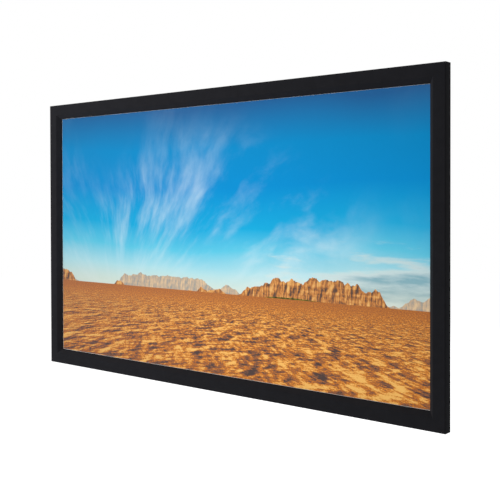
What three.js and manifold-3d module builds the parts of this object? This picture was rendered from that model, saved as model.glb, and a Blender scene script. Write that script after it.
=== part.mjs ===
// A fixed frame projector screen: a white PVC sheet stretched in a mitred aluminium frame that is
// wrapped in black velvet, with the plates, rods, clips, support bar and wall brackets behind it.
// Millimetres, +Z up. The picture side faces -Y and the wall is on the +Y side.
import * as THREE from "three";
import { mergeVertices } from "three/addons/utils/BufferGeometryUtils.js";
import Module from "manifold-3d";

const wasm = await Module();
wasm.setup();

// Picture area, between the noses of the frame.
const pictureWidth = 2200;
const pictureHeight = 1240;

// Frame section, seen along a rail: u runs from the outer edge to the picture, y from front to wall.
const frameFace = 74;
const frameDepth = 44.5;
const landWidth = 52;
const noseRecess = 22;
const noseHeight = 2.5;
const beadWidth = 6;
const edgeRadius = 3;
const creaseRadius = 8;
const noseRadius = 1.2;
const wallThickness = 1.8;
const wrapThickness = 0.7;
const wrapTurnIn = 5;
const glueLine = 0.1;

// Rear channel for the plates and hangers, and the tension groove beside it.
const channelWidth = 24;
const channelDepth = 5;
const lipLength = 6.5;
const grooveWidth = 7.6;
const ribThickness = 1.8;
const barbReach = 1.1;
const barbHeight = 4;

// Clearances: between seated pieces, and at the mitres and the butt joints.
const seat = 0.2;
const jointGap = 0.3;

// Sheet, sleeves and tension rods.
const sheetThickness = 0.5;
const rodRadius = 2;
const rodClearance = 0.3;
const rodSetback = 24;
const rodOverhang = 4;
const hemSetback = 1.8;
const hemWidth = 12;
const cornerNotch = 18;

// Tension clips.
const clipWall = 2.2;
const clipLength = 22;
const clipTipAngle = -10;
const clipNose = 2.6;
const clipRidgeHeight = 1.6;
const longSideClips = 8;
const shortSideClips = 5;

// Corner and splice plates.
const plateThickness = 4;
const cornerArm = 150;
const cornerChamfer = 9;
const spliceLength = 180;
const plateHoleRadius = 2.6;
const plateHoleInset = 18;
const plateHoleSpacing = 45;

// Upright support bar and its shoes.
const barWidth = 30;
const barDepth = 9;
const barWall = 1.2;
const barCornerRadius = 2;
const tongueDepth = 8;
const plugLength = 25;

// Wall brackets, folded from steel sheet.
const bracketGauge = 2;
const bracketBend = 0.4;
const bracketWidth = 60;
const bracketHeight = 42;
const bracketOffset = 560;
const slotRadius = 2.75;
const slotLength = 14;
const slotSpacing = 34;
const slotInset = 13;

// The landscape on the sheet, as fields of colour by share of the picture's height, from the bottom.
const landscape = [
  [0, 0xcd9455], [0.1, 0xc98a4d], [0.2, 0xbb7846], [0.28, 0xa66b45], [0.284, 0xd8e6e0],
  [0.36, 0xc2e6ee], [0.46, 0x84d3ee], [0.6, 0x2aa7dc], [0.75, 0x1388ca], [0.9, 0x1c74b6],
  [1, 0x2d659f],
];
const landscapeColumns = 18;
const backingColour = 0x2b2c2e;

// Thin cloud lies where two slanting waves are both high. The waves are in radians over the width
// and the height of the picture, and the cloud comes and goes between four shares of that height.
const cloudColour = 0xe9f5fa;
const cloudCover = 0.6;
const cloudWaves = [{ across: 10, up: 7, start: 0 }, { across: 6, up: -14, start: 1 }];
const cloudBand = { starts: 0.3, full: 0.5, fades: 0.7, ends: 1 };

// Places worked out from the sizes above.
const frameWidth = pictureWidth + 2 * frameFace;
const frameHeight = pictureHeight + 2 * frameFace;
const coat = wrapThickness + glueLine;
const noseBack = noseRecess + noseHeight;
const metalBack = frameDepth - coat;
const lipFront = metalBack - wallThickness;
const channelStart = coat + wallThickness;
const channelEnd = channelStart + channelWidth;
const channelFloor = lipFront - channelDepth;
const lipTip = channelStart + lipLength;
const grooveStart = channelEnd + wallThickness;
const ribFace = grooveStart + grooveWidth;
const sheetFront = noseBack + seat;
const sheetBack = sheetFront + sheetThickness;
const rodInset = frameFace - rodSetback;
const sleeveInner = rodRadius + rodClearance;
const sleeveOuter = sleeveInner + sheetThickness;
const rodDepth = sheetFront + sleeveOuter;
const clipInner = sleeveOuter + seat;
const clipOuter = clipInner + clipWall;
const ribTop = rodDepth + clipInner - seat;
const barbLedge = ribTop - barbHeight;
const barRear = metalBack;
const barFront = barRear - barDepth;
const plateRear = lipFront - seat;
const bracketFace = frameDepth + seat;
const wallPlane = bracketFace + bracketGauge;

const materials = {
  aluminium: { color: 0xb4b7bb, metalness: 1, roughness: 0.38 },
  velvet: { color: 0x1b1b1e, metalness: 0, roughness: 1 },
  zincSteel: { color: 0x9aa0a6, metalness: 1, roughness: 0.45 },
  blackSteel: { color: 0x1d1d1f, metalness: 0.4, roughness: 0.55 },
  fibreglass: { color: 0xd9d4bd, metalness: 0, roughness: 0.5 },
  blackNylon: { color: 0x202022, metalness: 0, roughness: 0.6 },
  printedVinyl: { color: 0xffffff, metalness: 0, roughness: 0.85, vertexColors: true },
};

// A closed geometry as a solid that can be joined and cut.
function toSolid(geometry) {
  const bare = geometry.clone();
  bare.deleteAttribute("normal");
  bare.deleteAttribute("uv");
  const merged = mergeVertices(bare, 1e-4);
  const vertProperties = merged.attributes.position.array;
  const triVerts = new Uint32Array(merged.index.array);
  return new wasm.Manifold(new wasm.Mesh({ numProp: 3, vertProperties, triVerts }));
}

// A solid back as a geometry with flat faces.
function toGeometry(solid) {
  const { vertProperties, triVerts } = solid.getMesh();
  const geometry = new THREE.BufferGeometry();
  geometry.setAttribute("position", new THREE.BufferAttribute(Float32Array.from(vertProperties), 3));
  geometry.setIndex(new THREE.BufferAttribute(Uint32Array.from(triVerts), 1));
  const faceted = geometry.toNonIndexed();
  faceted.computeVertexNormals();
  return faceted;
}

function piece(name, geometry, material) {
  const mesh = new THREE.Mesh(geometry, new THREE.MeshStandardMaterial(materials[material]));
  mesh.name = name;
  return mesh;
}

function extrude(shape, depth, curveSegments = 6) {
  return new THREE.ExtrudeGeometry(shape, { depth, curveSegments, bevelEnabled: false });
}

function rectangle(left, right, low, high) {
  const corners = [[left, low], [right, low], [right, high], [left, high]];
  return new THREE.Shape(corners.map(([x, y]) => new THREE.Vector2(x, y)));
}

// The bent line through the corners, moved to its left by inset, each bend an arc about one centre.
function bentLine(corners, inset, arcSteps = 4) {
  const points = corners.map(({ u, y }) => new THREE.Vector2(u, y));
  const runs = points.slice(1).map((point, i) => point.clone().sub(points[i]).normalize());
  const lefts = runs.map((run) => new THREE.Vector2(-run.y, run.x));
  const line = [points[0].clone().addScaledVector(lefts[0], inset)];
  for (let i = 1; i < points.length - 1; i++) {
    const [before, after] = [runs[i - 1], runs[i]];
    const shift = lefts[i - 1].clone().add(lefts[i]);
    shift.multiplyScalar(inset / (1 + lefts[i - 1].dot(lefts[i])));
    const corner = points[i].clone().add(shift);
    const turn = Math.atan2(before.cross(after), before.dot(after));
    const radius = Math.max(corners[i].radius - inset * Math.sign(turn), 0);
    if (radius === 0) {
      line.push(corner);
      continue;
    }
    const start = corner.clone().addScaledVector(before, -radius * Math.tan(Math.abs(turn) / 2));
    const centre = start.clone().addScaledVector(lefts[i - 1], Math.sign(turn) * radius);
    for (let step = 0; step <= arcSteps; step++) {
      line.push(start.clone().rotateAround(centre, (turn * step) / arcSteps));
    }
  }
  line.push(points.at(-1).clone().addScaledVector(lefts.at(-1), inset));
  return line;
}

// The visible outline of the frame: rear edge, outer side, front land, bevel, nose.
function frameOutline(rearStart, noseEnd) {
  return [
    { u: rearStart, y: frameDepth },
    { u: 0, y: frameDepth, radius: edgeRadius },
    { u: 0, y: 0, radius: edgeRadius },
    { u: landWidth, y: 0, radius: creaseRadius },
    { u: frameFace, y: noseRecess, radius: noseRadius },
    { u: frameFace, y: noseBack, radius: noseRadius },
    { u: noseEnd, y: noseBack },
  ];
}

// The extruded profile, one millimetre long: skin with a solid nose bead, rear channel, tension rib.
function profileSection() {
  const beadStart = frameFace - beadWidth;
  const outside = bentLine(frameOutline(lipTip, beadStart), coat);
  const bevelSlope = noseRecess / (frameFace - landWidth);
  const insideCorners = frameOutline(lipTip, beadStart).slice(0, 4);
  insideCorners.push({ u: beadStart, y: noseRecess - beadWidth * bevelSlope });
  const inside = bentLine(insideCorners, channelStart);
  const skinMiddle = coat + wallThickness / 2;
  const rib = new THREE.Shape([
    new THREE.Vector2(ribFace, skinMiddle),
    new THREE.Vector2(ribFace + ribThickness, skinMiddle),
    new THREE.Vector2(ribFace + ribThickness, ribTop),
    new THREE.Vector2(ribFace, ribTop),
    new THREE.Vector2(ribFace - barbReach, barbLedge),
    new THREE.Vector2(ribFace, barbLedge),
  ]);
  const webs = [
    rectangle(skinMiddle, channelEnd + wallThickness / 2, channelFloor - wallThickness, channelFloor),
    rectangle(channelEnd, grooveStart, skinMiddle, metalBack),
    rectangle(channelEnd - lipLength, grooveStart, lipFront, metalBack),
    rib,
  ];
  const skin = toSolid(extrude(new THREE.Shape([...outside, ...inside.reverse()]), 1));
  return toGeometry(webs.reduce((solid, web) => solid.add(toSolid(extrude(web, 1))), skin));
}

// The velvet, one millimetre long: a skin over the visible outline, turned in at both edges.
function wrapSection() {
  const corners = frameOutline(wrapTurnIn, frameFace - beadWidth + seat);
  const shape = new THREE.Shape([
    ...bentLine(corners, 0),
    ...bentLine(corners, wrapThickness).reverse(),
  ]);
  return extrude(shape, 1);
}

// A one millimetre section run along a rail: X along the rail, Y to the wall, Z out from the picture.
// The ends are X values that may depend on u, as they do at a mitre.
function runAlong(section, startAt, endAt) {
  const geometry = section.clone();
  const place = geometry.attributes.position;
  for (let i = 0; i < place.count; i++) {
    const [u, y, end] = [place.getX(i), place.getY(i), place.getZ(i)];
    place.setXYZ(i, end < 0.5 ? startAt(u) : endAt(u), y, -u);
  }
  geometry.computeVertexNormals();
  return geometry;
}

function runBetween(shape, start, end) {
  return runAlong(extrude(shape, 1), () => start, () => end);
}

// A plate outline in X and Z, given its thickness towards the wall from the depth front.
function plateAt(shape, front, thickness) {
  return extrude(shape, thickness).rotateX(Math.PI / 2).translate(0, front + thickness, 0);
}

// A moulded clip: a hook round the sleeved rod, a web over the rib and a nose under its barb.
function clipGeometry() {
  const tip = THREE.MathUtils.degToRad(clipTipAngle);
  const webFront = rodDepth + clipInner;
  const webRear = rodDepth + clipOuter;
  const legFace = ribFace - barbReach - seat;
  const legBack = legFace - clipWall;
  const noseTop = barbLedge - seat;
  const ridge = (legBack + rodInset) / 2;
  const shape = new THREE.Shape();
  shape.absarc(rodInset, rodDepth, clipInner, tip, Math.PI / 2, false);
  shape.lineTo(legFace, webFront);
  shape.lineTo(legFace, noseTop);
  shape.lineTo(ribFace - seat, noseTop);
  shape.lineTo(legFace, noseTop - clipNose);
  shape.lineTo(legBack, noseTop - clipNose);
  shape.lineTo(legBack, webRear - clipWall / 2);
  shape.lineTo(legBack + clipWall / 2, webRear);
  shape.lineTo(ridge - clipWall, webRear);
  shape.lineTo(ridge - clipWall / 2, webRear + clipRidgeHeight);
  shape.lineTo(ridge + clipWall / 2, webRear + clipRidgeHeight);
  shape.lineTo(ridge + clipWall, webRear);
  shape.absarc(rodInset, rodDepth, clipOuter, Math.PI / 2, tip, true);
  return runBetween(shape, -clipLength / 2, clipLength / 2);
}

// A Z-shaped hanger: a flange in the rear channel, a jog under its lip and a plate on the wall.
function bracketGeometry() {
  const flangeFront = plateRear - bracketGauge;
  const jog = lipTip + seat + bracketGauge;
  const outerBend = bracketBend + bracketGauge;
  const corners = [
    { u: channelStart + jointGap, y: flangeFront },
    { u: jog, y: flangeFront, radius: outerBend },
    { u: jog, y: bracketFace, radius: bracketBend },
    { u: jog + bracketHeight, y: bracketFace },
  ];
  const shape = new THREE.Shape([
    ...bentLine(corners, 0),
    ...bentLine(corners, bracketGauge).reverse(),
  ]);
  const folded = toSolid(runBetween(shape, -bracketWidth / 2, bracketWidth / 2));
  const slotMiddle = jog + bracketHeight - slotInset;
  const straight = slotLength / 2 - slotRadius;
  const slots = [-1, 1].map((sign) => {
    const slot = new THREE.Shape();
    const x = (sign * slotSpacing) / 2;
    slot.absarc(x, straight - slotMiddle, slotRadius, 0, Math.PI, false);
    slot.absarc(x, -straight - slotMiddle, slotRadius, Math.PI, 2 * Math.PI, false);
    return toSolid(plateAt(slot, bracketFace - bracketGauge, 3 * bracketGauge));
  });
  return toGeometry(slots.reduce((solid, slot) => solid.subtract(slot), folded));
}

// A moulded shoe: a tongue in the tension groove and a plug in the end of the support bar.
function shoeGeometry() {
  const back = grooveStart + seat;
  const face = ribFace - barbReach - seat;
  const plugEnd = face + plugLength;
  const plugFront = barFront + barWall + seat;
  const plugRear = barRear - barWall - seat;
  const shape = new THREE.Shape([
    new THREE.Vector2(back, ribTop - tongueDepth),
    new THREE.Vector2(face, ribTop - tongueDepth),
    new THREE.Vector2(face, plugFront),
    new THREE.Vector2(plugEnd, plugFront),
    new THREE.Vector2(plugEnd, plugRear),
    new THREE.Vector2(face, plugRear),
    new THREE.Vector2(face, barRear),
    new THREE.Vector2(back, barRear),
  ]);
  const half = barWidth / 2 - barCornerRadius;
  return runBetween(shape, -half, half);
}

// The support bar: a flat tube with round edges, from shoe to shoe.
function barGeometry() {
  const tube = (inset) => {
    const half = barWidth / 2 - inset;
    const corners = [[0, barFront + inset], [half, barFront + inset], [half, barRear - inset],
      [-half, barRear - inset], [-half, barFront + inset], [0, barFront + inset]];
    const radius = barCornerRadius;
    return bentLine(corners.map(([u, y]) => ({ u, y, radius: radius - inset })), 0, 3).slice(1);
  };
  const shape = new THREE.Shape(tube(0));
  shape.holes.push(new THREE.Path(tube(barWall)));
  const half = frameHeight / 2 - (ribFace - barbReach);
  return extrude(shape, 2 * half).translate(0, 0, -half);
}

function drill(shape, x, z) {
  const hole = new THREE.Path();
  hole.absarc(x, z, plateHoleRadius, 0, 2 * Math.PI, false);
  shape.holes.push(hole);
}

// An L-shaped plate for the corner where X and Z are greatest, its arms in two rear channels.
function cornerPlateGeometry() {
  const near = channelStart + seat;
  const far = channelEnd - seat;
  const middle = (near + far) / 2;
  const corners = [[near + cornerChamfer, near], [cornerArm, near], [cornerArm, far], [far, far],
    [far, cornerArm], [near, cornerArm], [near, near + cornerChamfer]];
  const shape = new THREE.Shape(corners.map(([x, z]) => new THREE.Vector2(-x, -z)));
  for (const along of [cornerArm - plateHoleInset, cornerArm - plateHoleInset - plateHoleSpacing]) {
    drill(shape, -along, -middle);
    drill(shape, -middle, -along);
  }
  return plateAt(shape, plateRear - plateThickness, plateThickness);
}

function splicePlateGeometry() {
  const near = -channelStart - seat;
  const far = seat - channelEnd;
  const shape = rectangle(-spliceLength / 2, spliceLength / 2, far, near);
  for (const sign of [-1, 1]) {
    const outer = spliceLength / 2 - plateHoleInset;
    drill(shape, sign * outer, (near + far) / 2);
    drill(shape, sign * (outer - plateHoleSpacing), (near + far) / 2);
  }
  return plateAt(shape, plateRear - plateThickness, plateThickness);
}

// The four sides, each built as the top rail and turned about Y. A name goes with each piece of
// profile, from the low to the high end of X before the turn.
const sides = [
  { name: "top", turn: 0, reach: frameHeight / 2, pieces: ["top_left", "top_right"] },
  { name: "right", turn: 1, reach: frameWidth / 2, pieces: ["right"] },
  { name: "bottom", turn: 2, reach: frameHeight / 2, pieces: ["bottom_right", "bottom_left"] },
  { name: "left", turn: 3, reach: frameWidth / 2, pieces: ["left"] },
];
for (const side of sides) {
  side.isRail = side.pieces.length === 2;
  side.halfLength = side.isRail ? frameWidth / 2 : frameHeight / 2;
  side.halfSleeve = side.halfLength - rodInset - cornerNotch;
}

// The picture area of the sheet as a flat box, with a row of corners at each field of the landscape.
function pictureGeometry() {
  const rows = landscape.length - 1;
  const field = new THREE.BoxGeometry(pictureWidth, sheetThickness, 1, landscapeColumns, 1, rows);
  const place = field.attributes.position;
  for (let i = 0; i < place.count; i++) {
    const [share] = landscape[Math.round((place.getZ(i) + 0.5) * rows)];
    place.setZ(i, (share - 0.5) * pictureHeight);
  }
  return field.translate(0, sheetFront + sheetThickness / 2, 0);
}

// The landscape's colour at a place on the sheet: the two nearest fields mixed, then thin cloud.
function landscapeColour(x, z) {
  const [across, share] = [x / pictureWidth, THREE.MathUtils.clamp(z / pictureHeight + 0.5, 0, 1)];
  const above = Math.max(landscape.findIndex(([height]) => height >= share), 1);
  const [[low, lowColour], [high, highColour]] = landscape.slice(above - 1, above + 1);
  const colour = new THREE.Color(lowColour);
  colour.lerp(new THREE.Color(highColour), (share - low) / (high - low));
  const waves = cloudWaves.map((wave) => Math.sin(wave.across * across + wave.up * share + wave.start));
  const coming = THREE.MathUtils.smoothstep(share, cloudBand.starts, cloudBand.full);
  const going = THREE.MathUtils.smoothstep(share, cloudBand.fades, cloudBand.ends);
  const cloud = cloudCover * coming * (1 - going) * Math.max(waves[0] * waves[1], 0);
  return colour.lerp(new THREE.Color(cloudColour), cloud);
}

function paintLandscape(geometry) {
  const { position, normal } = geometry.attributes;
  const backing = new THREE.Color(backingColour);
  const colours = new Float32Array(position.count * 3);
  for (let i = 0; i < position.count; i++) {
    const isFront = normal.getY(i) < -0.9;
    const colour = isFront ? landscapeColour(position.getX(i), position.getZ(i)) : backing;
    colour.toArray(colours, 3 * i);
  }
  return geometry.setAttribute("color", new THREE.BufferAttribute(colours, 3));
}

// The sheet with a welded sleeve along each edge and its corners cut out between the sleeves.
function sheetGeometry() {
  const [x, z] = [frameWidth / 2 - rodInset, frameHeight / 2 - rodInset];
  const [xIn, zIn] = [x - cornerNotch, z - cornerNotch];
  const outline = [[xIn, z], [-xIn, z], [-xIn, zIn], [-x, zIn], [-x, -zIn], [-xIn, -zIn],
    [-xIn, -z], [xIn, -z], [xIn, -zIn], [x, -zIn], [x, zIn], [xIn, zIn]];
  const flat = new THREE.Shape(outline.map(([a, b]) => new THREE.Vector2(a, b)));
  const opening = rectangle(-pictureWidth / 2, pictureWidth / 2, -pictureHeight / 2, pictureHeight / 2);
  flat.holes.push(new THREE.Path(opening.getPoints()));
  let sheet = toSolid(plateAt(flat, sheetFront, sheetThickness)).add(toSolid(pictureGeometry()));
  const ring = new THREE.Shape();
  ring.absarc(rodInset, rodDepth, sleeveOuter, 0, 2 * Math.PI, false);
  const bore = new THREE.Path();
  bore.absarc(rodInset, rodDepth, sleeveInner, 0, 2 * Math.PI, false);
  ring.holes.push(bore);
  const hemStart = rodInset + hemSetback;
  const hemFront = sheetBack - sheetThickness / 2;
  const hem = rectangle(hemStart, hemStart + hemWidth, hemFront, sheetBack + sheetThickness);
  for (const side of sides) {
    for (const shape of [ring, hem]) {
      const run = runBetween(shape, -side.halfSleeve, side.halfSleeve);
      run.translate(0, 0, side.reach).rotateY((side.turn * Math.PI) / 2);
      sheet = sheet.add(toSolid(run));
    }
  }
  return paintLandscape(toGeometry(sheet));
}

// The ends of a profile as X for each u, with sign -1 or 1 for the low or high side of the middle.
const mitre = (side, sign) => (u) => sign * (side.halfLength - u - jointGap * Math.SQRT1_2);
const butt = (sign) => () => (sign * jointGap) / 2;

const assembly = new THREE.Group();
assembly.position.y = -wallPlane / 2;

const profile = profileSection();
const wrap = wrapSection();
for (const side of sides) {
  const group = new THREE.Group();
  group.rotation.y = (side.turn * Math.PI) / 2;
  const rail = new THREE.Group();
  rail.position.z = side.reach;
  group.add(rail);
  assembly.add(group);

  side.pieces.forEach((name, index) => {
    const ends = [mitre(side, -1), mitre(side, 1)];
    if (side.isRail) ends[1 - index] = butt(index ? 1 : -1);
    rail.add(piece("frame_" + name, runAlong(profile, ...ends), "aluminium"));
    rail.add(piece("velvet_" + name, runAlong(wrap, ...ends), "velvet"));

    const reach = side.halfSleeve + rodOverhang;
    const low = side.isRail && index === 1 ? jointGap : -reach;
    const high = side.isRail && index === 0 ? -jointGap : reach;
    const rod = piece(
      "tension_rod_" + name,
      new THREE.CylinderGeometry(rodRadius, rodRadius, high - low, 12).rotateZ(Math.PI / 2),
      "fibreglass",
    );
    rod.position.set((low + high) / 2, rodDepth, -rodInset);
    rail.add(rod);
  });

  const clipCount = side.isRail ? longSideClips : shortSideClips;
  for (let i = 0; i < clipCount; i++) {
    const clip = piece("tension_clip_" + side.name + "_" + (i + 1), clipGeometry(), "blackNylon");
    clip.position.x = side.halfSleeve * ((2 * i + 1) / clipCount - 1);
    rail.add(clip);
  }

  if (side.isRail) {
    rail.add(piece("splice_plate_" + side.name, splicePlateGeometry(), "zincSteel"));
    rail.add(piece("support_shoe_" + side.name, shoeGeometry(), "blackNylon"));
    for (const sign of [-1, 1]) {
      const hand = sign * (side.turn ? -1 : 1) > 0 ? "right" : "left";
      const name = "wall_bracket_" + side.name + "_" + hand;
      const bracket = piece(name, bracketGeometry(), "blackSteel");
      bracket.position.x = sign * bracketOffset;
      rail.add(bracket);
    }
  }
}

const corners = [["top_right", 1, 1], ["bottom_right", 1, -1], ["bottom_left", -1, -1],
  ["top_left", -1, 1]];
corners.forEach(([name, x, z], turn) => {
  const plate = piece("corner_plate_" + name, cornerPlateGeometry(), "zincSteel");
  plate.rotation.y = (turn * Math.PI) / 2;
  plate.position.set((x * frameWidth) / 2, 0, (z * frameHeight) / 2);
  assembly.add(plate);
});

assembly.add(piece("screen_sheet", sheetGeometry(), "printedVinyl"));
assembly.add(piece("support_bar", barGeometry(), "aluminium"));

const projectorScreen = new THREE.Group();
projectorScreen.add(assembly);

export default projectorScreen;
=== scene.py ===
"""The looks of a wall-hung fixed frame projector screen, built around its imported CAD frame.

Metres, +Z up. The picture side faces -Y and the wall side +Y.
"""
from math import radians

import bmesh
import bpy
import numpy as np
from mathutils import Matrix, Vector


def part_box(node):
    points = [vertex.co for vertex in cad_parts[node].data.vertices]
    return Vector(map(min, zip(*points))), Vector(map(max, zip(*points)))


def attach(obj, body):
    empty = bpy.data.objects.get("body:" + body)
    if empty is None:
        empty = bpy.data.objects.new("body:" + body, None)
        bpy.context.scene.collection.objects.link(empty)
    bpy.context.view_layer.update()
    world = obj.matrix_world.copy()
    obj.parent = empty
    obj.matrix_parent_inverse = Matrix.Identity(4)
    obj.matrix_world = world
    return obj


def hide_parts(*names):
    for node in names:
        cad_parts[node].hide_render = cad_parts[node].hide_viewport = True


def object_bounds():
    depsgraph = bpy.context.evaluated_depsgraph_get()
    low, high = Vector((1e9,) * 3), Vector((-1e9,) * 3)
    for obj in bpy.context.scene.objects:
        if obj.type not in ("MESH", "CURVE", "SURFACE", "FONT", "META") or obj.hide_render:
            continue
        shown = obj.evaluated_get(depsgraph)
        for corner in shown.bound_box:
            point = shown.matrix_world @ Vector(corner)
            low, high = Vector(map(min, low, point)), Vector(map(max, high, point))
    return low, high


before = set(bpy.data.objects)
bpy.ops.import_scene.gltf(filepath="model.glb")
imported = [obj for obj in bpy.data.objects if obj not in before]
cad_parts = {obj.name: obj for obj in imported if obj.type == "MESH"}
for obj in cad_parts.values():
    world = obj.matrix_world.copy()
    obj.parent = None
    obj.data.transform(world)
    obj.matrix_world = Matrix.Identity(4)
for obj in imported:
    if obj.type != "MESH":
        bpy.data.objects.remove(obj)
cad_low, cad_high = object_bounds()


# The camera stands to the right of the screen and a little above its middle, and its view is
# shifted down a little, so that the screen's upright edges stay nearly parallel as photographed.
# Its three turns are in degrees.
photo_width = 500
focal_pixels = 866
eye_level_pixels = 212.1
camera_side = 2.662
camera_distance = 2.939
camera_rise = 0.179
look_down = 0.76
look_roll = 0.13
look_left = 39.56
camera_data = bpy.data.cameras.new("camera")
camera_data.sensor_width = 36
camera_data.lens = camera_data.sensor_width * focal_pixels / photo_width
camera_data.shift_y = (eye_level_pixels - photo_width / 2) / photo_width
camera = bpy.data.objects.new("camera", camera_data)
camera.location = (camera_side, cad_low.y - camera_distance, camera_rise)
camera.rotation_euler = (radians(90 - look_down), radians(look_roll), radians(look_left))
bpy.context.scene.collection.objects.link(camera)
bpy.context.scene.camera = camera


# The room: a white floor 1.5 m under the middle of the screen, as for a wall screen at eye height,
# and white all round. Three soft lamps and the world light the screen at a plain level.
floor_drop = 1.5
floor_reach = 14
room_light = 0.25
floor_grey = 0.8
floor_lift = 0.8


def wire(tree, kind, inputs=None, **settings):
    """Adds a shader node, sets its properties, and links or sets the named inputs."""
    made = tree.nodes.new("ShaderNode" + kind)
    for name, value in settings.items():
        setattr(made, name, value)
    for name, value in (inputs or {}).items():
        if isinstance(value, bpy.types.NodeSocket):
            tree.links.new(value, made.inputs[name])
        else:
            made.inputs[name].default_value = value
    return made


def figure(tree, operation, *terms):
    """The result of one arithmetic step on numbers or sockets."""
    return wire(tree, "Math", dict(enumerate(terms)), operation=operation).outputs[0]


def shown_to_the_eye(tree, lighting, shown):
    """One shader for the light that a surface gives, another for the camera and reflections."""
    path = wire(tree, "LightPath").outputs
    seen = figure(tree, "MAXIMUM", path["Is Camera Ray"], path["Is Glossy Ray"])
    seen = figure(tree, "MAXIMUM", seen, path["Is Transmission Ray"])
    return wire(tree, "MixShader", {0: seen, 1: lighting, 2: shown}).outputs[0]


def clear_from_below(tree, shader):
    """The shader from above, and nothing at all for a camera that looks up from under it."""
    from_camera = wire(tree, "LightPath").outputs["Is Camera Ray"]
    underside = wire(tree, "NewGeometry").outputs["Backfacing"]
    hidden = figure(tree, "MULTIPLY", from_camera, underside)
    clear = wire(tree, "BsdfTransparent").outputs[0]
    return wire(tree, "MixShader", {0: hidden, 1: shader, 2: clear}).outputs[0]


world = bpy.data.worlds.new("white_room")
bpy.context.scene.world = world
world.use_nodes = True
walls = world.node_tree
walls.nodes.clear()
glow = wire(walls, "Background", {"Color": (1, 1, 1, 1), "Strength": room_light}).outputs[0]
white = wire(walls, "Background", {"Color": (1, 1, 1, 1), "Strength": 1.0}).outputs[0]
wire(walls, "OutputWorld", {"Surface": shown_to_the_eye(walls, glow, white)})

floor_mesh = bpy.data.meshes.new("floor")
floor_sides = [(-1, -1), (1, -1), (1, 1), (-1, 1)]
floor_mesh.from_pydata([(x * floor_reach, y * floor_reach, -floor_drop) for x, y in floor_sides],
                       [], [(0, 1, 2, 3)])
floor = bpy.data.objects.new("floor", floor_mesh)
bpy.context.scene.collection.objects.link(floor)
floor_paint = bpy.data.materials.new("floor_paint")
floor_paint.use_nodes = True
paint = floor_paint.node_tree
paint.nodes.clear()
matt = wire(paint, "BsdfDiffuse", {"Color": (floor_grey,) * 3 + (1,)}).outputs[0]
lift = wire(paint, "Emission", {"Color": (1, 1, 1, 1), "Strength": floor_lift}).outputs[0]
lifted = wire(paint, "AddShader", {0: matt, 1: lift}).outputs[0]
pale = shown_to_the_eye(paint, matt, lifted)
wire(paint, "OutputMaterial", {"Surface": clear_from_below(paint, pale)})
floor_mesh.materials.append(floor_paint)


def soft_lamp(name, place, size, power):
    """A square lamp at a place, turned towards the middle of the screen."""
    data = bpy.data.lights.new(name, "AREA")
    data.size = size
    data.energy = power
    lamp = bpy.data.objects.new(name, data)
    lamp.location = place
    x, y, z = place
    lamp.rotation_euler = (np.arctan2(np.hypot(x, y), z), 0, np.arctan2(x, -y))
    bpy.context.scene.collection.objects.link(lamp)


soft_lamp("lamp_front_left", (-1.5, -2.7, 1.2), 1.8, 94)
soft_lamp("lamp_front_right", (1.6, -6.0, 1.8), 2.5, 42)
soft_lamp("lamp_behind", (0.8, 6.0, 2.4), 6.0, 185)


# Frame profiles: six lengths of extruded aluminium, mitred at the corners and butted in the rails.
# The velvet hides their face, so the bare metal shows only from behind, with the fine lines that
# the die leaves along its length.
profile_ease = 0.0002
along_x = (0.01, 1, 1)
along_z = (1, 1, 0.01)
rail_names = ["top_left", "top_right", "bottom_left", "bottom_right"]
stile_names = ["left", "right"]


def pigment(code):
    """A colour code as the linear red, green, blue and alpha that a shader takes."""
    part = np.array([int(code[i:i + 2], 16) for i in (1, 3, 5)]) / 255
    linear = np.where(part <= 0.04045, part / 12.92, ((part + 0.055) / 1.055) ** 2.4)
    return (*linear.tolist(), 1.0)


def finish_of(name, **sockets):
    """A material with its shader's uniform sockets set, given back with its tree and shader."""
    material = bpy.data.materials.new(name)
    material.use_nodes = True
    shader = material.node_tree.nodes["Principled BSDF"]
    for socket, value in sockets.items():
        shader.inputs[socket.replace("_", " ")].default_value = value
    return material, material.node_tree, shader


def effect(name, inputs, outputs):
    """An empty shader node group with named inputs and outputs, and its two end nodes."""
    group = bpy.data.node_groups.new(name, "ShaderNodeTree")
    for label, kind, value in inputs:
        socket = group.interface.new_socket(label, in_out="INPUT", socket_type=kind)
        socket.default_value = value
    for label in outputs:
        group.interface.new_socket(label, in_out="OUTPUT", socket_type="NodeSocketFloat")
    return group, group.nodes.new("NodeGroupInput").outputs, group.nodes.new("NodeGroupOutput")


# Grain is the fine irregular texture of every drawn, moulded, painted and woven surface here. Its
# shade is a multiplier near 1 for the colour, with broad patches fifty times larger than the fine
# grain, and its height feeds a bump.
grain, given, handed = effect(
    "grain",
    [("Scale", "NodeSocketFloat", 400.0), ("Stretch", "NodeSocketVector", (1, 1, 1)),
     ("Contrast", "NodeSocketFloat", 0.2)],
    ["Shade", "Height"])
spot = wire(grain, "TexCoord").outputs["Object"]
spot = wire(grain, "VectorMath", {0: spot, 1: given["Stretch"]}, operation="MULTIPLY").outputs[0]
fine = wire(grain, "TexNoise", {"Vector": spot, "Scale": given["Scale"], "Detail": 3.0,
                                "Roughness": 0.6}).outputs[0]
broad_scale = figure(grain, "MULTIPLY", given["Scale"], 0.02)
broad = wire(grain, "TexNoise", {"Vector": spot, "Scale": broad_scale, "Detail": 2.0}).outputs[0]
uneven = figure(grain, "SUBTRACT", figure(grain, "ADD", fine, broad), 1.0)
grain.links.new(figure(grain, "MULTIPLY_ADD", uneven, given["Contrast"], 1.0),
                handed.inputs["Shade"])
grain.links.new(fine, handed.inputs["Height"])


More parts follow.
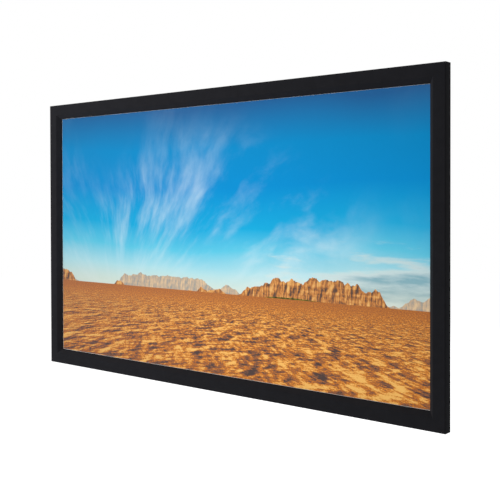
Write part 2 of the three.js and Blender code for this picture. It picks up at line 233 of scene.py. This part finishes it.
def grained(tree, shader, colour, scale, contrast, bump, stretch=(1, 1, 1), depth=0.0002):
    """Gives a shader a colour, from a code or a socket, shaded by the grain, and its bump."""
    if isinstance(colour, str):
        colour = pigment(colour)[:3]
    group = wire(tree, "Group", node_tree=grain)
    group.inputs["Scale"].default_value = scale
    group.inputs["Stretch"].default_value = stretch
    group.inputs["Contrast"].default_value = contrast
    shaded = wire(tree, "VectorMath", {0: colour, "Scale": group.outputs["Shade"]},
                  operation="SCALE").outputs[0]
    tree.links.new(shaded, shader.inputs["Base Color"])
    raised = wire(tree, "Bump", {"Height": group.outputs["Height"], "Strength": bump,
                                 "Distance": depth}).outputs[0]
    tree.links.new(raised, shader.inputs["Normal"])
    return group


def roughened(tree, shader, value, least, most):
    """Roughness from least, where a value is 0, to most, where it is 1."""
    rough = figure(tree, "MULTIPLY_ADD", value, most - least, least)
    tree.links.new(rough, shader.inputs["Roughness"])


def extruded_aluminium(name, stretch):
    """Mill-finish aluminium with die lines along the axis where stretch is small."""
    metal, tree, shader = finish_of(name, Metallic=1.0)
    group = grained(tree, shader, "#a9acb0", scale=900.0, contrast=0.22, bump=0.35,
                    stretch=stretch, depth=0.0001)
    roughened(tree, shader, group.outputs["Height"], 0.28, 0.52)
    return metal


def make_piece(name, points, faces, *materials, crease=35):
    """A named mesh at the origin that rides on the frame, smooth up to the crease angle."""
    mesh = bpy.data.meshes.new(name)
    mesh.from_pydata(np.reshape(points, (-1, 3)).tolist(), [],
                     faces if isinstance(faces, list) else faces.tolist())
    mesh.polygons.foreach_set("use_smooth", np.full(len(mesh.polygons), True))
    mesh.set_sharp_from_angle(angle=radians(crease))
    for material in materials:
        mesh.materials.append(material)
    piece = bpy.data.objects.new(name, mesh)
    bpy.context.scene.collection.objects.link(piece)
    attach(piece, "root")
    return piece


def eased(node, material, ease, crease=30):
    """A CAD node's own form as one joined skin, its sharp corners eased by a small bevel.

    Points at one place become one point and triangles in one plane become one face, and then
    every corner sharper than the crease angle is rounded over the width ease.
    """
    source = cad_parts[node].data
    places = np.empty(3 * len(source.vertices))
    source.vertices.foreach_get("co", places)
    places = places.reshape(-1, 3)
    corners = np.empty(len(source.loops), int)
    source.loops.foreach_get("vertex_index", corners)
    _, first, member = np.unique(np.round(places, 6), axis=0, return_index=True,
                                 return_inverse=True)
    triangles = member.ravel()[corners].reshape(-1, 3)
    piece = make_piece(node + "_eased", places[first], triangles, material, crease=crease)
    form = bmesh.new()
    form.from_mesh(piece.data)
    bmesh.ops.dissolve_limit(form, angle_limit=radians(0.5), verts=form.verts, edges=form.edges)
    form.to_mesh(piece.data)
    form.free()
    rounding = piece.modifiers.new("rounding", "BEVEL")
    rounding.width = ease
    rounding.segments = 2
    rounding.limit_method = "ANGLE"
    rounding.angle_limit = radians(crease)
    rounding.harden_normals = True
    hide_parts(node)
    return piece


rail_metal = extruded_aluminium("rail_aluminium", along_x)
stile_metal = extruded_aluminium("stile_aluminium", along_z)
for name in rail_names:
    eased("frame_" + name, rail_metal, profile_ease)
for name in stile_names:
    eased("frame_" + name, stile_metal, profile_ease)


# Velvet wraps: one strip of black velvet glued round each profile, over the outer side, the flat
# land, the bevel and the nose, and turned in at both edges. The pile drinks light, pales a little
# where it is seen at a flat angle, and closes over the mitres and the butt joints.
face_width = 0.074
land_width = 0.052
nose_recess = 0.022
nose_height = 0.0025
wrap_thickness = 0.0007
rear_turn_in = 0.005
nose_turn_in = 0.0058
edge_radius = 0.003
crease_radius = 0.008
nose_radius = 0.0012
pile_gap = 0.00004
arc_steps = 9
wrap_stations = 25
wrap_low, wrap_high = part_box("velvet_left")
wrap_depth = wrap_high.y - wrap_low.y
half_width = cad_high.x
half_height = cad_high.z


def turned_left(direction):
    """A direction in the plane turned a quarter to the left."""
    return np.array([-direction[1], direction[0]])


def bent_line(corners, radii, inset):
    """The line through the corners, shifted to its left by inset, each bend a round arc.

    A shifted corner lies on the sum of the two left normals, at inset over one plus their dot
    product. Its arc has the given radius, less inset on a left bend and more on a right one.
    """
    corners = np.array(corners, float)
    runs = np.diff(corners, axis=0)
    runs /= np.linalg.norm(runs, axis=1)[:, None]
    lefts = np.stack([-runs[:, 1], runs[:, 0]], 1)
    line = [corners[:1] + inset * lefts[:1]]
    for i, radius in enumerate(radii, 1):
        along, next_along, left = runs[i - 1], runs[i], lefts[i - 1]
        corner = corners[i] + (left + lefts[i]) * inset / (1 + left @ lefts[i])
        turn = np.arctan2(left @ next_along, along @ next_along)
        radius = radius - inset * np.sign(turn)
        spoke = -left * np.sign(turn) * radius
        centre = corner - along * radius * np.tan(abs(turn) / 2) - spoke
        angle = turn * np.linspace(0, 1, arc_steps)[:, None]
        line.append(centre + spoke * np.cos(angle) + turned_left(spoke) * np.sin(angle))
    line.append(corners[-1:] + inset * lefts[-1:])
    return np.concatenate(line)


def grid_faces(rows, columns, closed=False):
    """Four-cornered faces of a grid of points stored row by row; closed joins its last column."""
    index = np.arange(rows * columns).reshape(rows, columns)
    if closed:
        index = np.concatenate([index, index[:, :1]], 1)
    return np.stack([index[:-1, :-1], index[:-1, 1:], index[1:, 1:], index[1:, :-1]],
                    -1).reshape(-1, 4)


def turned_about(points, turns):
    """Points turned clockwise, seen from the front, by a number of right angles about Y."""
    x, y, z = np.moveaxis(points, -1, 0)
    for _ in range(turns):
        x, z = z, -x
    return np.stack([x, y, z], -1)


def wrap_points(turns, low_end, high_end):
    """The wrap's closed section carried along its side of the frame, and turned to that side.

    The section is the visible outline and, back again, the same outline inset by the thickness.
    A mitred end lies at half the side's length less the distance in from the edge, and a butted
    end at its own place.
    """
    corners = [(rear_turn_in, wrap_depth), (0, wrap_depth), (0, 0), (land_width, 0),
               (face_width, nose_recess), (face_width, nose_recess + nose_height),
               (face_width - nose_turn_in, nose_recess + nose_height)]
    radii = [edge_radius, edge_radius, crease_radius, nose_radius, nose_radius]
    outside = bent_line(corners, radii, 0)
    inside = bent_line(corners, radii, wrap_thickness)
    inward, depth = np.concatenate([outside, inside[::-1]]).T
    rise, run = (half_height, half_width) if turns % 2 == 0 else (half_width, half_height)
    mitre = run - inward - pile_gap * np.sqrt(0.5)
    low = -mitre if low_end is None else low_end
    high = mitre if high_end is None else high_end
    share = np.linspace(0, 1, wrap_stations)[:, None]
    points = np.broadcast_arrays(low + (high - low) * share, cad_low.y + depth, rise - inward)
    return turned_about(np.stack(points, -1), turns)


def wrap_faces(stations, across):
    """The faces round the closed section, and at each end the strip between its two lines."""
    outer = np.arange(across // 2)
    inner = across - 1 - outer
    cap = np.stack([outer[:-1], inner[:-1], inner[1:], outer[1:]], 1)
    far = cap[:, ::-1] + (stations - 1) * across
    return np.concatenate([grid_faces(stations, across, closed=True)[:, ::-1], cap, far])


velvet, tree, shader = finish_of(
    "black_velvet", Roughness=1.0, Sheen_Weight=0.05, Sheen_Roughness=0.5,
    Sheen_Tint=(0.92, 0.93, 1.0, 1.0), Specular_IOR_Level=0.03)
grained(tree, shader, "#1e1e21", scale=1400.0, contrast=0.35, bump=0.5, depth=0.0005)

butt = pile_gap / 2
wraps = {"top_left": (0, None, -butt), "top_right": (0, butt, None), "right": (1, None, None),
         "bottom_right": (2, None, -butt), "bottom_left": (2, butt, None),
         "left": (3, None, None)}
for name, (turns, low_end, high_end) in wraps.items():
    points = wrap_points(turns, low_end, high_end)
    piece = make_piece("velvet_wrap_" + name, points, wrap_faces(*points.shape[:2]), velvet)
    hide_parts("velvet_" + name)


# Screen sheet: one cut of half-millimetre PVC film, matt white on the picture side and black
# behind. A sleeve is welded along each edge round a tension rod, and the corners are cut out
# between the sleeves.
sheet_thickness = 0.0005
rod_radius = 0.002
rod_clearance = 0.0003
rod_inset = 0.050
corner_notch = 0.018
hem_width = 0.012
pucker_depth = 0.0006
pucker_reach = 0.030
sleeve_steps = 22
flap_steps = 5
panel_columns = 160
panel_rows = 90
sheet_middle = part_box("screen_sheet")[0].y + sheet_thickness / 2
sleeve_radius = rod_radius + rod_clearance + sheet_thickness / 2
flap_lift = 1.1 * sheet_thickness
sleeve_angle = 2 * np.pi - np.arccos(1 - flap_lift / sleeve_radius)
clip_pitch_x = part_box("tension_clip_top_2")[0].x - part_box("tension_clip_top_1")[0].x
clip_pitch_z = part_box("tension_clip_left_2")[0].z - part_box("tension_clip_left_1")[0].z


def sleeve_line():
    """The sleeve's middle line, as distance out past the rod's axis and depth behind the panel.

    It leaves the panel along a circle of the sleeve's radius that touches it, goes out round the
    rod and back to just behind the panel, and then runs inwards beside it as the welded flap.
    """
    angle = np.linspace(0, sleeve_angle, sleeve_steps + 1)[1:]
    out = sleeve_radius * np.sin(angle)
    deep = sleeve_radius * (1 - np.cos(angle))
    flap = out[-1] - hem_width * np.linspace(0, 1, flap_steps + 1)[1:]
    return np.concatenate([out, flap]), np.concatenate([deep, np.full(flap_steps, flap_lift)])


def panel_line(half, cells):
    """Places from edge to edge of the panel, with a line where each corner is cut out."""
    inner = np.linspace(corner_notch - half, half - corner_notch, cells + 1)
    return np.concatenate([[-half], inner, [half]])


def pucker(distance, wave):
    """How far the panel is drawn back at a distance in from the rod, between two clips.

    It is zero at the rod, greatest at the pucker's reach and dies away beyond, as the distance
    over the reach times e to the power of one less that share. The wave is 0 at each clip.
    """
    share = np.clip(distance, 0, None) / pucker_reach
    return pucker_depth * wave * share * np.exp(1 - share)


def sheet_points_and_faces(columns, rows):
    """A cross-shaped grid: the panel, and beyond each of its sides that side's sleeve.

    Both grid directions run along a sleeve line, the panel and another sleeve line. A point takes
    its X from one direction and its Z from the other, and its depth is the sum of the two and of
    the puckers between the clips of each edge.
    """
    half_x = half_width - rod_inset
    half_z = half_height - rod_inset
    out, deep = sleeve_line()
    x_panel, z_panel = panel_line(half_x, columns), panel_line(half_z, rows)
    x = np.concatenate([-(half_x + out)[::-1], x_panel, half_x + out])
    z = np.concatenate([-(half_z + out)[::-1], z_panel, half_z + out])
    depth_x = np.concatenate([deep[::-1], np.zeros(len(x_panel)), deep])
    depth_z = np.concatenate([deep[::-1], np.zeros(len(z_panel)), deep])
    x, z = np.meshgrid(x, z)
    depth = depth_x[None, :] + depth_z[:, None]
    wave_x = (1 + np.cos(2 * np.pi * x / clip_pitch_x)) / 2
    wave_z = (1 - np.cos(2 * np.pi * z / clip_pitch_z)) / 2
    inside_x = half_x - np.abs(x)
    inside_z = half_z - np.abs(z)
    drawn = pucker(inside_z, wave_x) * (inside_x > 0) + pucker(inside_x, wave_z) * (inside_z > 0)
    points = np.stack([x, sheet_middle + depth + drawn, z], -1)
    beyond_x = np.full(x.shape[1] - 1, True)
    beyond_x[len(out) + 1:-len(out) - 1] = False
    beyond_z = np.full(x.shape[0] - 1, True)
    beyond_z[len(out) + 1:-len(out) - 1] = False
    kept = ~(beyond_z[:, None] & beyond_x[None, :])
    faces = grid_faces(*x.shape)[kept.ravel()]
    used, faces = np.unique(faces, return_inverse=True)
    return points.reshape(-1, 3)[used], faces.reshape(-1, 4)


# The landscape printed on the picture side: sky with thin cloud fanned from one point, sandstone
# crags along the horizon, and trodden sand. The sun in it is low on the right. Over it all the
# print is darkened towards the left as painted shade, a fall of light across the screen. The
# picture stops just short of the frame, so a hair of the white film shows all round.
picture_half_width = half_width - face_width
picture_half_height = half_height - face_width
white_margin = 0.0007
horizon = -0.245
outline_blur = 0.001
painted_shade_share = 0.36
sky_height = picture_half_height - horizon
sand_height = picture_half_height + horizon


def tint(tree, share, low, high):
    """Two colours mixed, low where share is 0 and high where it is 1."""
    inputs = {0: share, 6: low, 7: high}
    return wire(tree, "Mix", inputs, data_type="RGBA").outputs[2]


def between(tree, value, low, high):
    """How far value has come from low to high, from 0 to 1, with a soft start and end."""
    inputs = {"Value": value, "From Min": low, "From Max": high}
    return wire(tree, "MapRange", inputs, interpolation_type="SMOOTHSTEP").outputs[0]


def stops(tree, value, *colours):
    """A run of colours along a value, each given with the place where it is reached."""
    made = wire(tree, "ValToRGB", {0: value})
    band = made.color_ramp.elements
    while len(band) < len(colours):
        band.new(0.5)
    for element, (place, code) in zip(band, colours):
        element.position = place
        element.color = pigment(code)
    return made.outputs[0]


def under(tree, line, z):
    """1 below a line and 0 above it, with a blur of a millimetre each way."""
    return between(tree, figure(tree, "SUBTRACT", line, z), -outline_blur, outline_blur)


def clouds(tree, x, z, scale, detail, roughness, seed):
    """Fractal noise on a plane made of two numbers, about a half on average."""
    place = wire(tree, "CombineXYZ", {0: x, 1: z, 2: seed}).outputs[0]
    inputs = {"Vector": place, "Scale": scale, "Detail": detail, "Roughness": roughness}
    return wire(tree, "TexNoise", inputs).outputs[0]


def times(tree, *terms):
    """The product of two or more numbers or sockets."""
    product = terms[0]
    for term in terms[1:]:
        product = figure(tree, "MULTIPLY", product, term)
    return product


def painted_sky(tree, x, z, rise):
    """Blue that deepens upwards, with soft streaks fanned about a point under the horizon.

    A streak is noise on the bearing and distance from that point, finer across the bearing than
    along it, and broad noise says where in the sky there are streaks at all.
    """
    fan_left = 0.62
    fan_drop = 0.45
    wander = 0.25
    drift = figure(tree, "SUBTRACT", clouds(tree, x, z, 0.9, 2.0, 0.55, 4.0), 0.5)
    blue = stops(tree, figure(tree, "MULTIPLY_ADD", drift, wander, rise),
                 (0.0, "#d5ebe2"), (0.12, "#b4e6ee"), (0.24, "#5fccea"), (0.36, "#16ade0"),
                 (0.57, "#028fd2"), (0.78, "#048ac7"), (1.0, "#225f96"))
    fan_x = figure(tree, "ADD", x, fan_left)
    fan_z = figure(tree, "ADD", z, fan_drop)
    away = figure(tree, "SQRT", figure(tree, "ADD", times(tree, fan_x, fan_x),
                                       times(tree, fan_z, fan_z)))
    swirl = figure(tree, "SUBTRACT", clouds(tree, x, z, 1.6, 2.0, 0.55, 9.0), 0.5)
    bearing = figure(tree, "MULTIPLY_ADD", swirl, wander, figure(tree, "ARCTAN2", fan_z, fan_x))
    broad = clouds(tree, times(tree, bearing, 2.4), times(tree, away, 0.7), 1.5, 4.0, 0.55, 3.0)
    fine = clouds(tree, times(tree, bearing, 3.6), times(tree, away, 1.7), 3.0, 7.0, 0.54, 6.0)
    place = between(tree, clouds(tree, x, z, 1.2, 1.0, 0.55, 21.0), 0.38, 0.66)
    veil = figure(tree, "MULTIPLY_ADD", fine, 0.45, figure(tree, "MULTIPLY", broad, 0.65))
    veil = times(tree, between(tree, veil, 0.44, 0.90), place, between(tree, rise, 1.25, 0.15))
    return tint(tree, veil, blue, pigment("#e4f5fa"))


def cloud_bank(tree, x, z, rise, sky):
    """Flat heaps of cloud low over the horizon, white above and grey green below."""
    low = times(tree, between(tree, rise, 0.36, 0.12), between(tree, x, -0.25, 0.8))
    shape = clouds(tree, x, times(tree, z, 6.0), 2.2, 6.0, 0.55, 12.0)
    shape = figure(tree, "ADD", shape, figure(tree, "MULTIPLY_ADD", low, 0.26, -0.20))
    heaps = stops(tree, shape, (0.42, "#f6f3e6"), (0.56, "#d6e6e6"), (0.70, "#86b2bf"))
    heap = times(tree, between(tree, shape, 0.40, 0.58), between(tree, low, 0.0, 0.35), 0.85)
    return tint(tree, heap, sky, heaps)


def lit_slope(tree, height, x, z, step):
    """How squarely a surface faces the light, which comes low from the right: about zero.

    It is the surface's height at a place less its height a step nearer to the light.
    """
    step_down = 0.6 * step
    beside = height(tree, figure(tree, "ADD", x, step), figure(tree, "ADD", z, -step_down))
    return figure(tree, "SUBTRACT", height(tree, x, z), beside)


def crags(tree, x, z, behind, seed, limit, height, foot, bright, shade, haze):
    """A row of worn sandstone crags in the low sun, over what is behind it.

    The row stands where broad noise along X is over the limit, and its top is ragged with a finer
    noise. Its faces are the lit slope of a noise stretched upwards, and haze pales a far row.
    """
    shoulder = 0.16
    upward_stretch = 0.35
    least_height = 0.35 * height
    light_step = 0.006

    def face(tree, x, z):
        """The relief of the row's steep faces."""
        return clouds(tree, x, z, 34.0, 5.0, 0.62, seed)

    land = between(tree, clouds(tree, x, seed, 1.9, 5.0, 0.5, seed), limit, limit + shoulder)
    ragged = clouds(tree, x, seed + 9.0, 15.0, 5.0, 0.6, seed)
    top = times(tree, land, figure(tree, "MULTIPLY_ADD", ragged, height, least_height))
    top = figure(tree, "ADD", top, horizon - foot)
    slope = lit_slope(tree, face, x, times(tree, z, upward_stretch), light_step)
    beds = clouds(tree, times(tree, x, 0.5), times(tree, z, 40.0), 1.5, 3.0, 0.6, seed)
    tone = figure(tree, "MULTIPLY_ADD", slope, 2.0, figure(tree, "MULTIPLY_ADD", beds, 0.5, 0.25))
    stone = stops(tree, tone, (0.28, shade), (0.5, bright), (0.78, "#f6bd6c"))
    stone = tint(tree, haze, stone, pigment("#cfe0dc"))
    return tint(tree, under(tree, top, z), behind, stone)


def scrub(tree, x, z, behind):
    """A thin uneven belt of dark bushes along the horizon."""
    bush_height = 0.045
    foot = 0.005
    crowns = clouds(tree, x, 7.0, 16.0, 4.0, 0.6, 30.0)
    there = between(tree, clouds(tree, x, 2.0, 1.3, 1.0, 0.5, 25.0), 0.44, 0.56)
    top = figure(tree, "MULTIPLY_ADD", times(tree, crowns, there), bush_height, horizon - foot)
    leaves = clouds(tree, times(tree, x, 60.0), times(tree, z, 60.0), 1.4, 3.0, 0.6, 4.0)
    green = stops(tree, leaves, (0.4, "#2c3820"), (0.6, "#7c7f38"))
    return tint(tree, under(tree, top, z), behind, green)


def trodden(tree, x, z):
    """The height of trodden sand: hollows side by side, the worn ridges between, and crumbs.

    A hollow is smooth Voronoi distance, on places that a broad noise has pushed about.
    """
    hollows_per_unit = 4.0
    reach = 0.5
    hollow_depth = 0.75
    push = figure(tree, "MULTIPLY_ADD", clouds(tree, x, z, 2.2, 3.0, 0.6, 5.0), reach, -reach / 2)
    place = wire(tree, "CombineXYZ", {0: figure(tree, "ADD", x, push),
                                      1: figure(tree, "SUBTRACT", z, push)}).outputs[0]
    inputs = {"Vector": place, "Scale": hollows_per_unit, "Smoothness": 0.5}
    hollow = wire(tree, "TexVoronoi", inputs, feature="SMOOTH_F1").outputs["Distance"]
    crumbs = clouds(tree, x, z, 8.0, 9.0, 0.68, 1.0)
    return figure(tree, "MULTIPLY_ADD", hollow, hollow_depth, crumbs)


def painted_sand(tree, x, z):
    """Trodden sand in perspective, lit from the right and low.

    A place on the ground is x and the picture's focal length, both over the depth below the
    horizon. Its tone is that of its slope and of its height, and both fade with distance.
    """
    focal = 1.25
    nearest_to_horizon = 0.015
    usual_height = 0.84
    usual_tone = 0.51
    light_step = 0.024
    slope_share = 2.6
    height_share = 0.45
    below = figure(tree, "DIVIDE", figure(tree, "SUBTRACT", horizon, z), sand_height)
    away = figure(tree, "DIVIDE", 1.0, figure(tree, "MAXIMUM", below, nearest_to_horizon))
    across = figure(tree, "MULTIPLY", x, away)
    deep = figure(tree, "MULTIPLY", away, focal)
    slope = lit_slope(tree, trodden, across, deep, light_step)
    height = figure(tree, "SUBTRACT", trodden(tree, across, deep), usual_height)
    grit = figure(tree, "SUBTRACT", clouds(tree, x, times(tree, z, 1.6), 130.0, 3.0, 0.7, 2.0), 0.5)
    height = figure(tree, "MULTIPLY", height, height_share)
    slope = figure(tree, "MULTIPLY_ADD", slope, slope_share, height)
    slope = times(tree, slope, between(tree, below, -0.15, 0.35))
    shade = figure(tree, "ADD", figure(tree, "ADD", grit, slope), usual_tone)
    sand = stops(tree, shade, (0.12, "#554643"), (0.32, "#8b6049"), (0.48, "#bc6f38"),
                 (0.62, "#e08a36"), (0.84, "#ffc56c"))
    far = between(tree, below, 0.16, 0.0)
    return tint(tree, times(tree, far, 0.5), sand, pigment("#a9683f"))


film, tree, shader = finish_of("picture_film", Roughness=0.7, Specular_IOR_Level=0.05)
spread = wire(tree, "SeparateXYZ", {0: wire(tree, "TexCoord").outputs["Object"]}).outputs
x, z = spread["X"], spread["Z"]
rise = figure(tree, "DIVIDE", figure(tree, "SUBTRACT", z, horizon), sky_height)
scape = painted_sky(tree, x, z, rise)
scape = cloud_bank(tree, x, z, rise, scape)
scape = tint(tree, times(tree, between(tree, rise, 0.14, -0.02), 0.6), scape, pigment("#e3ead9"))
scape = crags(tree, x, z, scape, seed=3.0, limit=0.40, height=0.075, foot=0.004,
              bright="#c58f5a", shade="#7d6a5c", haze=0.36)
scape = crags(tree, x, z, scape, seed=14.0, limit=0.47, height=0.115, foot=0.006,
              bright="#cd7f38", shade="#5d4032", haze=0.04)
scape = scrub(tree, x, z, scape)
scape = tint(tree, under(tree, horizon, z), scape, painted_sand(tree, x, z))
# Painted shade: the whole picture is darkened towards the left, as if less light fell there.
painted_shade_left = times(tree, between(tree, x, 0.5, -1.4), painted_shade_share)
scape = tint(tree, painted_shade_left, scape, pigment("#1f3547"))
within_x = figure(tree, "LESS_THAN", figure(tree, "ABSOLUTE", x),
                  picture_half_width - white_margin)
within_z = figure(tree, "LESS_THAN", figure(tree, "ABSOLUTE", z),
                  picture_half_height - white_margin)
scape = tint(tree, times(tree, within_x, within_z), pigment("#e6e6e2"), scape)
grained(tree, shader, scape, scale=2600.0, contrast=0.03, bump=0.06)

backing, tree, shader = finish_of("black_backing", Roughness=0.62, Specular_IOR_Level=0.22)
grained(tree, shader, "#2c2d30", scale=1500.0, contrast=0.14, bump=0.25)

points, faces = sheet_points_and_faces(panel_columns, panel_rows)
sheet = make_piece("stretched_sheet", points, faces, film, backing)
skin = sheet.modifiers.new("thickness", "SOLIDIFY")
skin.thickness = sheet_thickness
skin.offset = 0
skin.use_even_offset = True
skin.material_offset = 1
skin.material_offset_rim = 1
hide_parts("screen_sheet")


# Tension rods: pultruded fibreglass, 4 mm thick, pushed through the sleeves. Only their ends show,
# pale, with the glass running lengthwise and a small chamfer where they were cut.
rod_sides = 24
rod_chamfer = 0.0004


def turned(axis, along, radii, sides):
    """Rings about a main axis: each at its place along it, with its radius at every angle."""
    angle = np.arange(sides) * 2 * np.pi / sides
    radii = np.broadcast_to(np.reshape(radii, (len(along), -1)), (len(along), sides))
    along = np.broadcast_to(np.reshape(along, (-1, 1)), radii.shape)
    local = np.stack([along, radii * np.cos(angle), radii * np.sin(angle)], -1)
    return np.roll(local, axis, axis=-1)


def capped_faces(count, rings, sides):
    """A number of like tubes of rings, each closed at both ends by one many-sided face."""
    tube = grid_faces(rings, sides, closed=True)
    start = np.arange(sides)
    faces = []
    for base in np.arange(count) * rings * sides:
        faces += (tube + base).tolist()
        faces += [(start[::-1] + base).tolist(), (start + base + (rings - 1) * sides).tolist()]
    return faces


def glass_fibre(name, stretch):
    """Pale resin streaked along the axis where stretch is small."""
    rod, tree, shader = finish_of(name, Roughness=0.42, Specular_IOR_Level=0.5)
    grained(tree, shader, "#e2dcc2", scale=1800.0, contrast=0.3, bump=0.3, stretch=stretch)
    return rod


def tension_rod(name, axis, material):
    """A round rod in its node's box, along an axis, chamfered at both ends."""
    low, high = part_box("tension_rod_" + name)
    centre = (np.array(low) + np.array(high)) / 2
    reach = (high[axis] - low[axis]) / 2
    along = np.array([-reach, rod_chamfer - reach, reach - rod_chamfer, reach])
    radii = [rod_radius - rod_chamfer, rod_radius, rod_radius, rod_radius - rod_chamfer]
    rod = make_piece("glass_rod_" + name, turned(axis, along, radii, rod_sides) + centre,
                     capped_faces(1, len(along), rod_sides), material)
    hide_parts("tension_rod_" + name)


rail_glass = glass_fibre("rail_rod_glass", along_x)
stile_glass = glass_fibre("stile_rod_glass", along_z)
for name in rail_names:
    tension_rod(name, 0, rail_glass)
for name in stile_names:
    tension_rod(name, 2, stile_glass)


# Tension clips and support shoes: black nylon, moulded, with the fine spark texture of the mould.
# Each clip hooks round a sleeved rod and snaps on the rib of the profile.
nylon_ease = 0.0003


def moulded_nylon():
    """Black nylon with a soft gloss and a fine texture."""
    nylon, tree, shader = finish_of("black_nylon", Specular_IOR_Level=0.5)
    group = grained(tree, shader, "#242427", scale=2200.0, contrast=0.2, bump=0.35)
    roughened(tree, shader, group.outputs["Height"], 0.33, 0.63)
    return nylon


nylon = moulded_nylon()
for node in sorted(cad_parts):
    if node.startswith(("tension_clip_", "support_shoe_")):
        eased(node, nylon, nylon_ease)


# Support bar: a flat aluminium tube up the middle of the back, anodised, that keeps the rails from
# bowing in under the pull of the sheet.
eased("support_bar", extruded_aluminium("bar_aluminium", along_z), profile_ease)


# Corner and splice plates: punched steel, zinc plated, which slide in the rear channels of two
# profiles and hold them in line.
plate_ease = 0.0003
flakes_per_metre = 360.0


def zinc_plate():
    """Zinc plating: small flakes of pale and darker grey, with a fine tooth."""
    zinc, tree, shader = finish_of("zinc_plate", Metallic=1.0)
    place = wire(tree, "TexCoord").outputs["Object"]
    flakes = wire(tree, "TexVoronoi", {"Vector": place, "Scale": flakes_per_metre}).outputs["Color"]
    tone = wire(tree, "SeparateXYZ", {0: flakes}).outputs[0]
    colour = tint(tree, tone, pigment("#8f9499"), pigment("#a4a9ad"))
    grained(tree, shader, colour, scale=1200.0, contrast=0.12, bump=0.3)
    roughened(tree, shader, tone, 0.34, 0.50)
    return zinc


zinc = zinc_plate()
for node in sorted(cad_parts):
    if node.startswith(("corner_plate_", "splice_plate_")):
        eased(node, zinc, plate_ease)


# Set screws: hexagon socket grub screws in the plates' tapped holes, driven against the channel
# floor, so that the plates jam behind the channel's lips.
screw_radius = 0.00245
screw_bevel = 0.0004
screw_sides = 24
socket_radius = 0.00145
socket_depth = 0.0019
socket_tip = 0.0003
screw_sunk = 0.0002
screw_bite = 0.0004
centre_share = 0.02
plate_arm = 0.150
splice_half = 0.090
hole_inset = 0.018
hole_spacing = 0.045
channel_middle = 0.0146
plate_low, plate_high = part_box("splice_plate_top")
screw_length = plate_high.y - plate_low.y + screw_bite


def hole_middles():
    """The X and Z of every tapped hole: two in each arm of a corner plate, four in a splice."""
    along = np.array([hole_inset, hole_inset + hole_spacing])
    rail_x = np.concatenate([half_width - plate_arm + along, splice_half - along])
    stile_z = half_height - plate_arm + along
    level = half_height - channel_middle
    upright = half_width - channel_middle
    one_quarter = np.concatenate([
        np.stack([rail_x, np.full(len(rail_x), level)], 1),
        np.stack([np.full(len(stile_z), upright), stile_z], 1)])
    mirrors = np.array([(1, 1), (-1, 1), (-1, -1), (1, -1)])
    return (one_quarter[None] * mirrors[:, None]).reshape(-1, 2)


def screw_rings():
    """A grub screw about Y with its top at 0: tip, side and top, and the socket's wall and floor.

    The socket's radius is that of a hexagon: the distance to a side's middle over the cosine of
    the angle from it. The tip and the floor end in a ring a small share of their own size.
    """
    angle = np.arange(screw_sides) * 2 * np.pi / screw_sides
    from_side = np.mod(angle, np.pi / 3) - np.pi / 6
    hexagon = socket_radius * np.cos(np.pi / 6) / np.cos(from_side)
    whole = np.full(screw_sides, screw_radius)
    radii = np.stack([whole * centre_share, whole - 2 * screw_bevel, whole, whole,
                      whole - screw_bevel, hexagon, hexagon, hexagon * centre_share])
    along = np.array([-screw_length, -screw_length, 2 * screw_bevel - screw_length, -screw_bevel,
                      0, 0, -socket_depth, -socket_depth - socket_tip])
    return turned(1, along, radii, screw_sides)


def blued_steel():
    """Hardened black steel with a trace of oil."""
    steel, tree, shader = finish_of("blued_steel", Metallic=1.0, Roughness=0.35)
    grained(tree, shader, "#4a4c50", scale=2500.0, contrast=0.25, bump=0.3)
    return steel


middles = hole_middles()
screw_top = np.full(len(middles), plate_high.y - screw_sunk)
tops = np.stack([middles[:, 0], screw_top, middles[:, 1]], 1)
one_screw = screw_rings()
set_screws = make_piece("set_screws", tops[:, None, None] + one_screw[None],
                        capped_faces(len(middles), len(one_screw), screw_sides), blued_steel())


# Wall brackets: folded from 2 mm steel and powder coated black, with two long slots for the wall
# screws. The coat has a fine orange-peel skin.
bracket_ease = 0.0003


def powder_coat():
    """Satin black powder coat with a low, rounded texture."""
    coat, tree, shader = finish_of("powder_coat", Roughness=0.5, Specular_IOR_Level=0.5)
    grained(tree, shader, "#26262a", scale=900.0, contrast=0.12, bump=0.5)
    return coat


coat = powder_coat()
for node in sorted(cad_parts):
    if node.startswith("wall_bracket_"):
        eased(node, coat, bracket_ease)


bpy.context.scene.view_settings.view_transform = "Standard"
